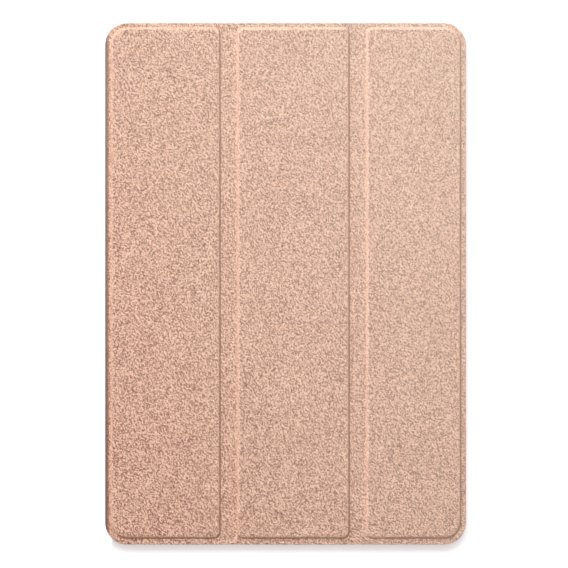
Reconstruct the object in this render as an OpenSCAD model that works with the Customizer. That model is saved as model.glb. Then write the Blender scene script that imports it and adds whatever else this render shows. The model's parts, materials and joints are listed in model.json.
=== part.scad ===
// Ten-inch tablet computer in a folio case with a three-fold leather cover.
// It lies on its back: X runs across the cover from the spine to the free edge,
// Y runs up the portrait height and Z points out of the screen.
// The origin is the centre of the face that the case rests on.

/* [Cover] */
// Width of the closed cover, from the spine to the free edge
cover_w = 177; // [177:0.5:182]
// Length of the cover, along its folds
cover_l = 255.4; // [255:0.5:260]
// Radius of the cover's outer corners
cover_corner_r = 11; // [9:0.5:13]
// Width of the first padded panel, next to the spine
panel_1_w = 53.2; // [50:0.2:53.2]
// Width of the second padded panel
panel_2_w = 54.6; // [50:0.2:54.6]
// Width of the leather strip between two panels, where the cover folds
fold_gap = 8.6; // [7:0.2:9]
// Flat border between a panel and the cover's side edges
side_border = 3.0; // [2.5:0.1:3.5]
// Flat border above the panels
top_border = 2.2; // [2:0.1:4]
// Flat border below the panels
bottom_border = 3.6; // [2:0.1:4]
// Thickness of the outer leather
skin_t = 0.7; // [0.6:0.05:0.8]
// Thickness of the stiffening boards in the panels
board_t = 1.1; // [0.9:0.05:1.2]
// Thickness of the microfibre lining
lining_t = 0.4; // [0.3:0.05:0.5]
// Thickness of the board in the spine
spine_board_t = 0.4; // [0.3:0.05:0.4]

/* [Back shell] */
// Thickness of the moulded shell's floor
shell_floor_t = 1.1; // [0.9:0.1:1.3]
// Thickness of the shell's top and bottom walls
shell_wall_t = 1.3; // [1.1:0.1:1.3]
// Thickness of the shell's wall on the free side
shell_right_t = 1.1; // [1:0.1:1.1]
// Thickness of the shell's wall beside the spine
shell_left_t = 0.8; // [0.7:0.1:0.8]
// How far the shell's lip reaches over the glass
lip_reach = 0.8; // [0.5:0.1:1]
// Thickness of the lip
lip_t = 0.6; // [0.5:0.1:0.7]

/* [Tablet] */
// Width of the tablet in portrait
tablet_w = 172.4; // [170:0.2:172.4]
// Height of the tablet in portrait
tablet_l = 249.4; // [246:0.2:250]
// Thickness of the tablet
tablet_t = 7.5; // [7.5:0.1:8]
// Radius of the tablet's corners
tablet_corner_r = 9; // [8:0.5:10]
// Radius of the housing's rear edges
housing_edge_r = 2.5; // [2:0.1:3]
// Width of the screen module under the glass
screen_w = 160; // [156:1:162]
// Height of the screen module under the glass
screen_l = 212; // [208:1:214]
// Thickness of the front glass
glass_t = 0.9; // [0.7:0.1:1]

/* [Controls and ports] */
// Length of a push button's cap
button_l = 11; // [9:0.5:12]
// Width of a push button's cap
button_w = 2.4; // [2:0.1:2.6]
// How far a cap stands out of the housing
button_proud = 0.5; // [0.4:0.1:0.6]
// Bore radius of the headphone jack
jack_r = 1.78; // [1.75:0.01:1.8]
// Radius of the rear camera's trim ring
camera_ring_r = 4.6; // [4:0.1:5]

/* [Hidden] */

$fn = 48;
eps = 0.01;

// Colours
rose_leather = [0.82, 0.64, 0.55];
rose_microfibre = [0.72, 0.60, 0.54];
rose_plastic = [0.80, 0.62, 0.54];
silver = [0.78, 0.78, 0.79];
steel = [0.66, 0.67, 0.69];
black = [0.05, 0.05, 0.06];
board_green = [0.07, 0.26, 0.16];
amber = [0.62, 0.36, 0.10];
fibreboard = [0.45, 0.42, 0.38];

// Levels, from the face that the case rests on
shell_z = skin_t;
tablet_z = shell_z + shell_floor_t + 0.05;
tablet_top = tablet_z + tablet_t;
lip_z = tablet_top + 0.05;
lining_z = lip_z + lip_t + 0.25;
skin_z = lining_z + lining_t;
fold_z = skin_z + skin_t;
cover_top = fold_z + board_t;

// Places across the case
left = -cover_w / 2;
right = cover_w / 2;
spine_t = skin_t + spine_board_t + lining_t;
spine_gap = 0.3;
fit_gap = 0.1;
shell_left = left + spine_t + spine_gap;
tablet_left = shell_left + shell_left_t + fit_gap;
tablet_right = tablet_left + tablet_w;
tablet_x = tablet_left + tablet_w / 2;
tablet_end = tablet_l / 2;
shell_right = tablet_right + fit_gap + shell_right_t;
back_edge = 1.5;
back_corner_r = 9;
shell_end = tablet_end + fit_gap + shell_wall_t;
port_z = tablet_z + tablet_t / 2;

// Panels of the cover: each padded span, and the fold lines between them
panel_1 = [left + side_border, left + side_border + panel_1_w];
panel_2 = [panel_1[1] + fold_gap, panel_1[1] + fold_gap + panel_2_w];
panel_3 = [panel_2[1] + fold_gap, right - side_border];
fold_1_x = (panel_1[1] + panel_2[0]) / 2;
fold_2_x = (panel_2[1] + panel_3[0]) / 2;
fold_clear = 0.1;
panel_low = -cover_l / 2 + bottom_border;
panel_high = cover_l / 2 - top_border;
panel_corner_r = 3;
panel_outer_r = 8;
spine_end = cover_l / 2 - cover_corner_r;
spine_board_low = 2.2;
spine_board_high = fold_z - 2.6;
board_slack = 0.05;
magnet_t = 0.85;
lining_inset = 0.3;

// Inside the tablet
housing_floor = tablet_z + 0.8;
glass_z = tablet_top - glass_t;
glass_inset = 1.0;
rim_z = tablet_top - 0.15;
ledge_z = glass_z - 0.15;
ledge_t = 0.8;
cavity_inset = 2.6;
lcd_z = glass_z - 1.1;
backlight_z = lcd_z - 1.1;
plate_z = backlight_z - 0.5;
pcb_t = 0.8;
board_z = housing_floor + 0.65;
board_top = board_z + pcb_t;
connector_h = 0.85;
low_connector_h = 0.55;
chip_h = 0.9;
can_h = 1.4;
can_t = 0.25;
thin_flex_t = 0.15;
cable_t = 0.1;
cell_z = housing_floor + 0.05;
cell_t = 2.9;
battery_low = -72;
battery_high = 54;

// Controls and ports along the edges
volume_up_y = 104;
volume_down_y = 90;
hall_y = 80;
tray_y = 66;
tray_z = board_top + 0.8;
tray_door_l = 16;
tray_door_w = 2.2;
tray_door_y = tray_y + 1.2;
power_x = 62;
jack_x = tablet_x - 70;
jack_mouth = tablet_end - 0.1;
camera = [tablet_x + 72, 110.5];
camera_window_r = 7.5;
front_camera_y = 115.5;
button_travel = 0.35;
switch_gap = button_travel + 0.1;
switch_t = 0.85;
flex_t = 0.2;
flange_t = 0.6;
flange_margin = 1.0;
housing_wall = 1.6;
inner_right = tablet_right - housing_wall;
inner_end = tablet_end - housing_wall;
cavity_end = tablet_end - cavity_inset - 0.1;
port_board_z = port_z - 1.6 - pcb_t;
port_board_top = port_board_z + pcb_t;
port_connector_h = 0.9;
speaker_x = 50;
screw_r = 0.7;
screw_hole_r = 0.75;
board_hole_r = 0.8;
boss_r = 1.8;
usb_mouth = -tablet_end + 0.2;
switch_x = inner_right - flange_t - switch_gap - switch_t;
switch_y = inner_end - flange_t - switch_gap - switch_t;

// Board screws, as [x, y, top of the boss]
screw_places = concat(
    [for (x = [-74, 60], y = [62, 101]) [tablet_x + x, y, board_z]],
    [for (x = [-19, 19]) [tablet_x + x, -107, port_board_z]]);

// Corner radii of the panels and the sheets, from the lower left, anticlockwise
pad_1_r = [panel_outer_r, panel_corner_r, panel_corner_r, panel_outer_r];
pad_2_r = [1, 1, 1, 1] * panel_corner_r;
pad_3_r = [panel_corner_r, panel_outer_r, panel_outer_r, panel_corner_r];
sheet_1_r = [cover_corner_r, 0, 0, cover_corner_r];
sheet_2_r = [0, 0, 0, 0];
sheet_3_r = [0, cover_corner_r, cover_corner_r, 0];

// Magnets: x, y, width along X, length along Y
stand_magnet_list = [for (y = [-70, 0, 70]) [panel_1[0] + 6, y, 4, 24]];
closing_magnet_list = [for (y = [-78, -26, 26]) [panel_3[1] - 6, y, 4, 24]];
sleep_magnet_list = [[panel_3[1] - 7, hall_y, 5, 12]];

// Corner points of a rectangle with a radius for each corner, from the lower left, anticlockwise
function arc_points(cx, cy, r, from) =
    r > 0 ? [for (i = [0:8]) [cx + r * cos(from + i * 11.25), cy + r * sin(from + i * 11.25)]] : [[cx, cy]];
function round_points(x0, y0, x1, y1, r) = concat(
    arc_points(x0 + r[0], y0 + r[0], r[0], 180), arc_points(x1 - r[1], y0 + r[1], r[1], 270),
    arc_points(x1 - r[2], y1 - r[2], r[2], 0), arc_points(x0 + r[3], y1 - r[3], r[3], 90));

// A flat plate with rounded corners between two levels
module plate(x0, y0, x1, y1, r, z0, z1)
    translate([0, 0, z0])
        linear_extrude(z1 - z0)
            polygon(round_points(x0, y0, x1, y1, r));

// A box from one corner to the other
module block(a, b)
    translate(a)
        cube(b - a);

// The tablet's outline, moved outwards by grow, between two levels
module tablet_slab(grow, z0, z1)
    plate(tablet_left - grow, -tablet_end - grow, tablet_right + grow, tablet_end + grow,
        [1, 1, 1, 1] * (tablet_corner_r + grow), z0, z1);

// A slot with round ends, standing along Y through a wall: width along X, height along Z
module end_slot(x, z, width, height, y0, y1)
    translate([x, y0, z])
        rotate([-90, 0, 0])
            union() {
                translate([-(width - height) / 2, -height / 2, 0])
                    cube([width - height, height, y1 - y0]);
                for (s = [-1, 1])
                    translate([s * (width - height) / 2, 0, 0])
                        cylinder(h = y1 - y0, r = height / 2);
            }

// The same slot through a side wall: length along Y, height along Z
module side_slot(y, z, length, height, x0, x1)
    translate([x0, y, z])
        rotate([0, 90, 0])
            union() {
                translate([-height / 2, -(length - height) / 2, 0])
                    cube([height, length - height, x1 - x0]);
                for (s = [-1, 1])
                    translate([0, s * (length - height) / 2, 0])
                        cylinder(h = x1 - x0, r = height / 2);
            }

// Cutter for a 45 degree mitre along a crease of the spine at level z; angle says which side it takes away
module mitre(z, angle)
    translate([left, -cover_l / 2 - 1, z])
        rotate([0, angle, 0])
            translate([-8, 0, -fold_clear / 2])
                cube([16, cover_l + 2, 8]);

// --- Case ---

module back_skin()
    color(rose_leather)
        difference() {
            plate(left, -shell_end + back_edge, shell_right - back_edge, shell_end - back_edge,
                [1, 1, 1, 1] * back_corner_r, 0, skin_t);
            translate([camera.x, camera.y, -1])
                cylinder(h = 3, r = camera_window_r);
            mitre(0, -45);
        }

module back_shell() {
    corner = [1, 1, 1, 1] * (tablet_corner_r + fit_gap + shell_wall_t);
    outside = shell_right + 1;
    color(rose_plastic)
        difference() {
            plate(shell_left, -shell_end, shell_right, shell_end, corner, shell_z, lip_z + lip_t);
            tablet_slab(fit_gap, shell_z + shell_floor_t, lip_z);
            tablet_slab(-lip_reach, shell_z + shell_floor_t, lip_z + lip_t + 1);
            translate([camera.x, camera.y, 0])
                cylinder(h = 4, r = camera_window_r);
            // side openings for the volume buttons and the card tray
            side_slot((volume_up_y + volume_down_y) / 2, port_z, 31, 6, tablet_right - 1, outside);
            side_slot(tray_door_y, tray_z, tray_door_l + 4, tray_door_w + 2.4, tablet_right - 1, outside);
            // top openings for the power button and the headphone jack
            end_slot(power_x, port_z, 19, 6, tablet_end - 1, shell_end + 1);
            end_slot(jack_x, port_z, 9, 6.5, tablet_end - 1, shell_end + 1);
            end_slot(tablet_x, port_z, 4, 2, tablet_end - 1, shell_end + 1);
            // bottom openings for the plug and the speakers
            end_slot(tablet_x, port_z, 14, 6.5, -shell_end - 1, -tablet_end + 1);
            for (s = [-1, 1])
                end_slot(tablet_x + s * speaker_x, port_z, 36, 3.4, -shell_end - 1, -tablet_end + 1);
        }
}

module spine_skin()
    color(rose_leather)
        difference() {
            block([left, -spine_end, 0], [left + skin_t, spine_end, fold_z]);
            mitre(0, 135);
            mitre(fold_z, 45);
        }

// The place of the stiffening board inside the spine, from x0 to its inner face
module spine_board_space(x0)
    block([x0, -spine_end + 3, spine_board_low],
        [left + skin_t + spine_board_t, spine_end - 3, spine_board_high]);

module spine_board()
    color(fibreboard)
        spine_board_space(left + skin_t);

module spine_lining()
    color(rose_microfibre)
        difference() {
            block([left + skin_t, -spine_end, 0], [left + spine_t, spine_end, fold_z]);
            spine_board_space(left);
            mitre(0, 135);
            mitre(fold_z, 45);
        }

// Outer leather of one panel: a flat sheet raised over the board
module cover_skin(x0, x1, span, sheet_r, pad_r) {
    board_r = [for (r = pad_r) r - skin_t];
    difference() {
        union() {
            plate(x0, -cover_l / 2, x1, cover_l / 2, sheet_r, skin_z, fold_z);
            plate(span[0], panel_low, span[1], panel_high, pad_r, fold_z - eps, cover_top);
        }
        plate(span[0] + skin_t, panel_low + skin_t, span[1] - skin_t, panel_high - skin_t,
            board_r, skin_z - 1, cover_top - skin_t);
    }
}

// Stiffening board of one panel, with pockets for its magnets
module cover_board(span, pad_r, pockets = []) {
    slack = board_slack;
    board_r = [for (r = pad_r) r - skin_t - slack];
    difference() {
        plate(span[0] + skin_t + slack, panel_low + skin_t + slack, span[1] - skin_t - slack,
            panel_high - skin_t - slack, board_r, skin_z, cover_top - skin_t);
        for (p = pockets)
            magnet(p, slack);
    }
}

// A bar magnet: place, length and width, pressed in from the lining side
module magnet(p, grow)
    block([p[0] - p[2] / 2 - grow, p[1] - p[3] / 2 - grow, skin_z - grow],
        [p[0] + p[2] / 2 + grow, p[1] + p[3] / 2 + grow, skin_z + magnet_t + grow]);

module cover_lining(x0, x1, sheet_r)
    plate(x0, -cover_l / 2 + lining_inset, x1, cover_l / 2 - lining_inset, sheet_r, lining_z, skin_z);

module cover_skin_1()
    color(rose_leather)
        difference() {
            cover_skin(left, fold_1_x - fold_clear, panel_1, sheet_1_r, pad_1_r);
            mitre(fold_z, -135);
        }

module cover_lining_1()
    color(rose_microfibre)
        difference() {
            cover_lining(left + skin_t, fold_1_x - fold_clear, sheet_1_r);
            mitre(fold_z, -135);
        }

module cover_board_1()
    color(fibreboard)
        cover_board(panel_1, pad_1_r, stand_magnet_list);

module stand_magnets()
    color(steel)
        for (m = stand_magnet_list)
            magnet(m, 0);

module cover_skin_2()
    color(rose_leather)
        cover_skin(fold_1_x + fold_clear, fold_2_x - fold_clear, panel_2, sheet_2_r, pad_2_r);

module cover_lining_2()
    color(rose_microfibre)
        cover_lining(fold_1_x + fold_clear, fold_2_x - fold_clear, sheet_2_r);

module cover_board_2()
    color(fibreboard)
        cover_board(panel_2, pad_2_r);

module cover_skin_3()
    color(rose_leather)
        cover_skin(fold_2_x + fold_clear, right, panel_3, sheet_3_r, pad_3_r);

module cover_lining_3()
    color(rose_microfibre)
        cover_lining(fold_2_x + fold_clear, right - lining_inset, sheet_3_r);

module cover_board_3()
    color(fibreboard)
        cover_board(panel_3, pad_3_r, concat(closing_magnet_list, sleep_magnet_list));

module closing_magnets()
    color(steel)
        for (m = closing_magnet_list)
            magnet(m, 0);

module sleep_magnet()
    color(steel)
        for (m = sleep_magnet_list)
            magnet(m, 0);

// --- Tablet ---

// One corner of the housing: its rear edge follows a quarter circle
module housing_corner() {
    inner_r = tablet_corner_r - housing_edge_r;
    rear_edge = [for (a = [0:15:90])
        [inner_r + housing_edge_r * sin(a), tablet_z + housing_edge_r * (1 - cos(a))]];
    rotate_extrude($fn = 32)
        polygon(concat([[0, rim_z], [0, tablet_z]], rear_edge, [[tablet_corner_r, rim_z]]));
}

module housing_blank()
    hull()
        for (x = [tablet_left + tablet_corner_r, tablet_right - tablet_corner_r], s = [-1, 1])
            translate([x, s * (tablet_end - tablet_corner_r), 0])
                housing_corner();

module rear_housing()
    color(silver)
        difference() {
            union() {
                difference() {
                    housing_blank();
                    tablet_slab(-housing_wall, housing_floor, ledge_z - ledge_t);
                    tablet_slab(-cavity_inset, housing_floor, tablet_top + 1);
                    tablet_slab(-glass_inset, ledge_z, tablet_top + 1);
                }
                for (p = screw_places)
                    translate([p.x, p.y, housing_floor - 0.1])
                        cylinder(h = p.z - housing_floor + 0.1, r = boss_r);
            }
            for (p = screw_places)
                translate([p.x, p.y, housing_floor - 0.4])
                    cylinder(h = 3, r = screw_hole_r);
            translate([camera.x, camera.y, 0])
                cylinder(h = 4, r = camera_ring_r + 0.05);
            translate([jack_x, inner_end - 1, port_z])
                rotate([-90, 0, 0])
                    cylinder(h = 4, r = 2.45);
            translate([tablet_x, inner_end - 1, port_z])
                rotate([-90, 0, 0])
                    cylinder(h = 4, r = 0.5);
            end_slot(power_x, port_z, button_l + 0.2, button_w + 0.2, inner_end - 1, tablet_end + 1);
            for (y = [volume_up_y, volume_down_y])
                side_slot(y, port_z, button_l + 0.2, button_w + 0.2, inner_right - 1, tablet_right + 1);
            side_slot(tray_door_y, tray_z, tray_door_l + 0.2, tray_door_w + 0.2,
                inner_right - 1, tablet_right + 1);
            end_slot(tablet_x, port_z, 9.1, 3.4, -tablet_end - 1, -inner_end + 1);
            for (s = [-1, 1], i = [-3.5:3.5])
                translate([tablet_x + s * speaker_x + i * 4.2, -inner_end + 1, port_z])
                    rotate([90, 0, 0])
                        cylinder(h = 4, r = 0.7);
        }

module cover_glass()
    color(black)
        tablet_slab(-glass_inset - 0.1, glass_z, tablet_top);

module glass_gasket()
    color(black)
        difference() {
            tablet_slab(-glass_inset - 0.2, ledge_z, glass_z);
            tablet_slab(-cavity_inset, ledge_z - 1, glass_z + 1);
        }

// A rectangular layer of the screen, shrunk by inset
module screen_layer(inset, z0, z1)
    block([tablet_x - screen_w / 2 + inset, -screen_l / 2 + inset, z0],
        [tablet_x + screen_w / 2 - inset, screen_l / 2 - inset, z1]);

module lcd_panel()
    color([0.10, 0.11, 0.14])
        screen_layer(0, lcd_z, glass_z);

module backlight_unit()
    color([0.92, 0.92, 0.90])
        screen_layer(0.3, backlight_z, lcd_z);

module mid_plate()
    color(steel)
        difference() {
            screen_layer(0.2, plate_z, plate_z + 0.4);
            for (x = [-66, 66], y = [-96, -32, 32])
                translate([tablet_x + x, y, plate_z - 1])
                    cylinder(h = 3, r = 3);
        }

module battery_cells()
    color([0.16, 0.16, 0.17])
        for (s = [0, 1])
            plate(tablet_x - 71 + s * 71.5, battery_low, tablet_x - 0.5 + s * 71.5, battery_high,
                [2, 2, 2, 2], cell_z, cell_z + cell_t);

module battery_board()
    color(board_green)
        block([tablet_x - 30, battery_high + 0.2, 3.6], [tablet_x + 38, battery_high + 3.2, 4.6]);

module battery_cable()
    color(amber)
        translate([tablet_x + 26, battery_high + 1, board_top + low_connector_h])
            cube([8, 8, flex_t]);

module main_board()
    color(board_green)
        difference() {
            block([tablet_x - 78, 58.5, board_z], [tablet_x + 80, 104, board_top]);
            for (p = screw_places)
                translate([p.x, p.y, board_z - 1])
                    cylinder(h = 3, r = board_hole_r);
        }

// A chip or connector on the main board: centre, length along X and Y, height
module on_board(x, y, sx, sy, h)
    translate([tablet_x + x - sx / 2, y - sy / 2, board_top])
        cube([sx, sy, h]);

module board_chips()
    color([0.12, 0.12, 0.13]) {
        on_board(-44, 80, 15, 15, 1.0);
        on_board(-24, 80, 12, 13, chip_h);
        on_board(18, 80, 8, 8, chip_h);
        on_board(32, 80, 9, 10, chip_h);
    }

module board_connectors()
    color([0.85, 0.83, 0.76]) {
        on_board(0, 62, 14, 4, connector_h);
        on_board(30, 61, 8, 4, low_connector_h);
        on_board(-20, 99, 32, 4, connector_h);
        // the plug board's own connector
        translate([tablet_x - 7, -110, port_board_top])
            cube([14, 4, port_connector_h]);
    }

// An open-bottomed can over a group of chips
module shield_can(x0, x1, y0, y1)
    difference() {
        block([tablet_x + x0, y0, board_top], [tablet_x + x1, y1, board_top + can_h]);
        block([tablet_x + x0 + can_t, y0 + can_t, board_top - 1],
            [tablet_x + x1 - can_t, y1 - can_t, board_top + can_h - can_t]);
    }

module shield_cans()
    color(steel) {
        shield_can(-58, -12, 67, 94);
        shield_can(9, 44, 67, 94);
    }

module port_board()
    color(board_green)
        difference() {
            block([tablet_x - 22, -121, port_board_z], [tablet_x + 22, -103, port_board_top]);
            for (p = screw_places)
                translate([p.x, p.y, port_board_z - 1])
                    cylinder(h = 3, r = board_hole_r);
        }

module usb_receptacle()
    color(steel)
        difference() {
            end_slot(tablet_x, port_z, 8.94, 3.16, usb_mouth, usb_mouth + 7.4);
            end_slot(tablet_x, port_z, 8.34, 2.56, usb_mouth - 1, usb_mouth + 6.6);
        }

module usb_tongue()
    color(black)
        translate([tablet_x - 3.3, usb_mouth + 1, port_z - 0.35])
            cube([6.6, 5.6, 0.7]);

module headphone_jack()
    color(black)
        difference() {
            union() {
                translate([jack_x - 3.5, cavity_end - 13, port_z - 2.6])
                    cube([7, 13, 5.2]);
                translate([jack_x, cavity_end - 1, port_z])
                    rotate([-90, 0, 0])
                        cylinder(h = jack_mouth - cavity_end + 1, r = 2.35);
            }
            translate([jack_x, jack_mouth - 14, port_z])
                rotate([-90, 0, 0])
                    cylinder(h = 16, r = jack_r);
        }

module speaker_box(side)
    color(black)
        difference() {
            plate(tablet_x + side * speaker_x - 22, -cavity_end, tablet_x + side * speaker_x + 22,
                -cavity_end + 14, [2, 2, 2, 2], port_z - 2.7, port_z + 2.1);
            // the sound duct behind the grille holes
            block([tablet_x + side * speaker_x - 17, -inner_end - 1, port_z - 1.4],
                [tablet_x + side * speaker_x + 17, -cavity_end + 3, port_z + 1.4]);
        }

module speaker_left()
    speaker_box(-1);

module speaker_right()
    speaker_box(1);

module speaker_cones()
    color([0.35, 0.36, 0.38])
        for (s = [-1, 1])
            plate(tablet_x + s * speaker_x - 15, -inner_end + 3.5, tablet_x + s * speaker_x + 15,
                -inner_end + 12.5, [4, 4, 4, 4], port_z + 2.1, port_z + 2.4);

module speaker_meshes()
    color(steel)
        for (s = [-1, 1])
            block([tablet_x + s * speaker_x - 17, -inner_end + 0.1, port_z - 1.3],
                [tablet_x + s * speaker_x + 17, -inner_end + 0.4, port_z + 1.3]);

module microphone()
    color(steel)
        block([tablet_x - 2, inner_end - 1.4, port_z - 1.5], [tablet_x + 2, inner_end - 0.1, port_z + 1.5]);

module rear_camera()
    color(black)
        block([camera.x - 4.4, camera.y - 4.4, housing_floor + 0.05],
            [camera.x + 4.4, camera.y + 4.4, housing_floor + 2.95]);

module camera_ring()
    color(silver)
        translate([camera.x, camera.y, tablet_z - 0.45])
            difference() {
                cylinder(h = 1.2, r = camera_ring_r);
                translate([0, 0, -1])
                    cylinder(h = 4, r = camera_ring_r - 1);
            }

module camera_lens()
    color(black)
        translate([camera.x, camera.y, tablet_z - 0.2])
            cylinder(h = 0.8, r = camera_ring_r - 1.05);

module front_camera()
    color(black)
        translate([tablet_x - 3.2, front_camera_y - 3.2, ledge_z - 4])
            cube([6.4, 6.4, 4]);

module light_sensor()
    color(black)
        translate([tablet_x + 10, front_camera_y - 1, ledge_z - 1])
            cube([3, 2, 1]);

module hall_sensor()
    color(black)
        on_board(77, hall_y, 2, 3, 0.8);

module antennas()
    color(amber) {
        block([tablet_x - 56, 112, 3], [tablet_x - 22, 118, 5.5]);
        block([tablet_x - 84, -60, 3], [tablet_x - 81, -26, 5.5]);
    }

module volume_flex()
    color(amber)
        translate([switch_x - flex_t, volume_down_y - 7, port_z - 1.5])
            cube([flex_t, volume_up_y - volume_down_y + 14, 3]);

module power_flex()
    color(amber)
        block([power_x - 9, switch_y - flex_t, port_z - 1.5], [power_x + 9, switch_y, port_z + 1.5]);

module switches()
    color(silver) {
        for (y = [volume_up_y, volume_down_y])
            block([switch_x, y - 2.2, port_z - 1.4], [switch_x + switch_t, y + 2.2, port_z + 1.4]);
        block([power_x - 2.2, switch_y, port_z - 1.4], [power_x + 2.2, switch_y + switch_t, port_z + 1.4]);
    }

// From the screen's upper edge down to its connector on the main board
module display_flex() {
    x0 = tablet_x - 35;
    x1 = tablet_x - 5;
    bend_y = screen_l / 2 + 0.75;
    low = board_top + connector_h;
    high = lcd_z + 0.55;
    color(amber)
        union() {
            block([x0, screen_l / 2, high - thin_flex_t], [x1, bend_y, high]);
            block([x0, bend_y - thin_flex_t, low], [x1, bend_y, high]);
            block([x0, 97, low], [x1, bend_y, low + thin_flex_t]);
        }
}

// From the plug board, over the cells, to the main board
module port_flex() {
    x0 = tablet_x - 6;
    x1 = tablet_x + 6;
    low_1 = port_board_top + port_connector_h;
    over_cells = cell_z + cell_t + 0.02;
    low_2 = board_top + connector_h;
    color(amber)
        union() {
            block([x0, -111, low_1], [x1, -99.9, low_1 + cable_t]);
            block([x0, -100, low_1], [x1, -99.9, over_cells + cable_t]);
            block([x0, -100, over_cells], [x1, 57, over_cells + cable_t]);
            block([x0, 56.9, low_2], [x1, 57, over_cells + cable_t]);
            block([x0, 56.9, low_2], [x1, 64, low_2 + cable_t]);
        }
}

module card_reader()
    color(steel)
        difference() {
            block([69, tray_y - 7.4, board_top], [inner_right - 2.2, tray_y + 7.4, board_top + 1.6]);
            block([69.3, tray_y - 6.2, board_top + 0.15], [inner_right, tray_y + 6.2, board_top + 1.45]);
        }

module card_tray()
    color(silver)
        difference() {
            union() {
                block([69.6, tray_y - 6, tray_z - 0.5], [tablet_right - 1.4, tray_y + 6, tray_z + 0.5]);
                side_slot(tray_door_y, tray_z, tray_door_l, tray_door_w,
                    tablet_right - 1.5, tablet_right - 0.05);
            }
            // pocket for the memory card
            block([70.2, tray_y - 5.6, tray_z - 0.2], [85, tray_y + 5.6, tray_z + 0.6]);
            // pinhole that frees the tray
            translate([tablet_right - 3, tray_y + 7.6, tray_z])
                rotate([0, 90, 0])
                    cylinder(h = 4, r = 0.45);
        }

module memory_card()
    color(black)
        block([70.3, tray_y - 5.5, tray_z - 0.2], [84.9, tray_y + 5.5, tray_z + 0.5]);

// A push button that travels along Z: a cap with round ends and a flange behind the wall
module button_body()
    union() {
        end_slot(0, 0, button_l, button_w, -0.1, housing_wall + button_proud);
        translate([-(button_l + flange_margin) / 2, -flange_t, -(button_w + flange_margin) / 2])
            cube([button_l + flange_margin, flange_t, button_w + flange_margin]);
    }

module power_button()
    color(silver)
        translate([power_x, inner_end, port_z])
            button_body();

module volume_button(y)
    color(silver)
        translate([inner_right, y, port_z])
            rotate([0, 0, -90])
                button_body();

module volume_up_button()
    volume_button(volume_up_y);

module volume_down_button()
    volume_button(volume_down_y);

module screws()
    color(steel)
        for (p = screw_places)
            translate([p.x, p.y, housing_floor - 0.3])
                union() {
                    cylinder(h = p.z + pcb_t - housing_floor + 0.35, r = screw_r);
                    translate([0, 0, p.z + pcb_t - housing_floor + 0.3])
                        cylinder(h = 0.5, r = 2 * screw_r);
                }

back_skin();
back_shell();
rear_housing();
cover_glass();
glass_gasket();
lcd_panel();
backlight_unit();
mid_plate();
battery_cells();
battery_board();
battery_cable();
main_board();
board_chips();
board_connectors();
shield_cans();
port_board();
usb_receptacle();
usb_tongue();
headphone_jack();
speaker_left();
speaker_right();
speaker_cones();
speaker_meshes();
microphone();
rear_camera();
camera_ring();
camera_lens();
front_camera();
light_sensor();
hall_sensor();
antennas();
volume_flex();
power_flex();
switches();
display_flex();
port_flex();
card_reader();
screws();
power_button();
volume_up_button();
volume_down_button();
card_tray();
memory_card();
spine_skin();
spine_board();
spine_lining();
cover_skin_1();
cover_board_1();
cover_lining_1();
stand_magnets();
cover_skin_2();
cover_board_2();
cover_lining_2();
cover_skin_3();
cover_board_3();
cover_lining_3();
closing_magnets();
sleep_magnet();
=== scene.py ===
"""Looks of a ten-inch tablet in a grained leather folio case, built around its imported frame.

The case lies on its back: X runs from the spine to the free edge, Y up the portrait height and Z out of
the screen. Every length is in metres, and every position comes from the frame's own boxes and joints.
"""
import json
import math

import bmesh
import bpy
from mathutils import Matrix, Vector


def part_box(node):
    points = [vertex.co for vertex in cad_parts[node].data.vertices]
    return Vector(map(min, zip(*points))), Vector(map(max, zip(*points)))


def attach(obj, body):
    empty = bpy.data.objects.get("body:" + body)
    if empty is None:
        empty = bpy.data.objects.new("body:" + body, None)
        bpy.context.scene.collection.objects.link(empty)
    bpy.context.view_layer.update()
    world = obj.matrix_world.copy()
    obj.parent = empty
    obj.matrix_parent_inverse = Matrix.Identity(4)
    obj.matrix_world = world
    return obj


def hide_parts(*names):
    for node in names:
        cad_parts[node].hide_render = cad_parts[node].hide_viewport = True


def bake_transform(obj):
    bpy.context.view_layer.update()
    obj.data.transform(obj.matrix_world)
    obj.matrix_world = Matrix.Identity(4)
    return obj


bl_info = {
    "name": "Folio Tablet",
    "version": (1, 0, 0),
    "blender": (4, 5, 0),
    "location": "3D View > Sidebar > Folio",
    "description": "Builds a tablet in a three-fold leather case around its packed frame",
    "category": "Object",
}

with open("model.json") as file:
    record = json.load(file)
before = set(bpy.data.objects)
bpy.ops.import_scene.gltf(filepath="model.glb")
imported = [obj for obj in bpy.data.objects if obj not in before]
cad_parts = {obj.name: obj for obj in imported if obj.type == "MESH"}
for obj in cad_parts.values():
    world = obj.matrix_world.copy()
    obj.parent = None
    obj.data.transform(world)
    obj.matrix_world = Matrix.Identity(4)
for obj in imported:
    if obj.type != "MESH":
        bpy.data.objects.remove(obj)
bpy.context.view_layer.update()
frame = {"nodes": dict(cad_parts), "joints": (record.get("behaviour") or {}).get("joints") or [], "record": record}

MM = 0.001
X, Y, Z = 0, 1, 2
AXIS = {joint["name"]: Vector(joint["pos_m"]) for joint in frame["joints"] if "pos_m" in joint}
SLOT_OF = {part["node"]: part["material_slot"] for part in frame["record"]["subparts"]}


# --- Places that several pieces share ---

def span(node, axis):
    """Lowest and highest place of a node along one axis."""
    low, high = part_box(node)
    return low[axis], high[axis]


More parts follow.
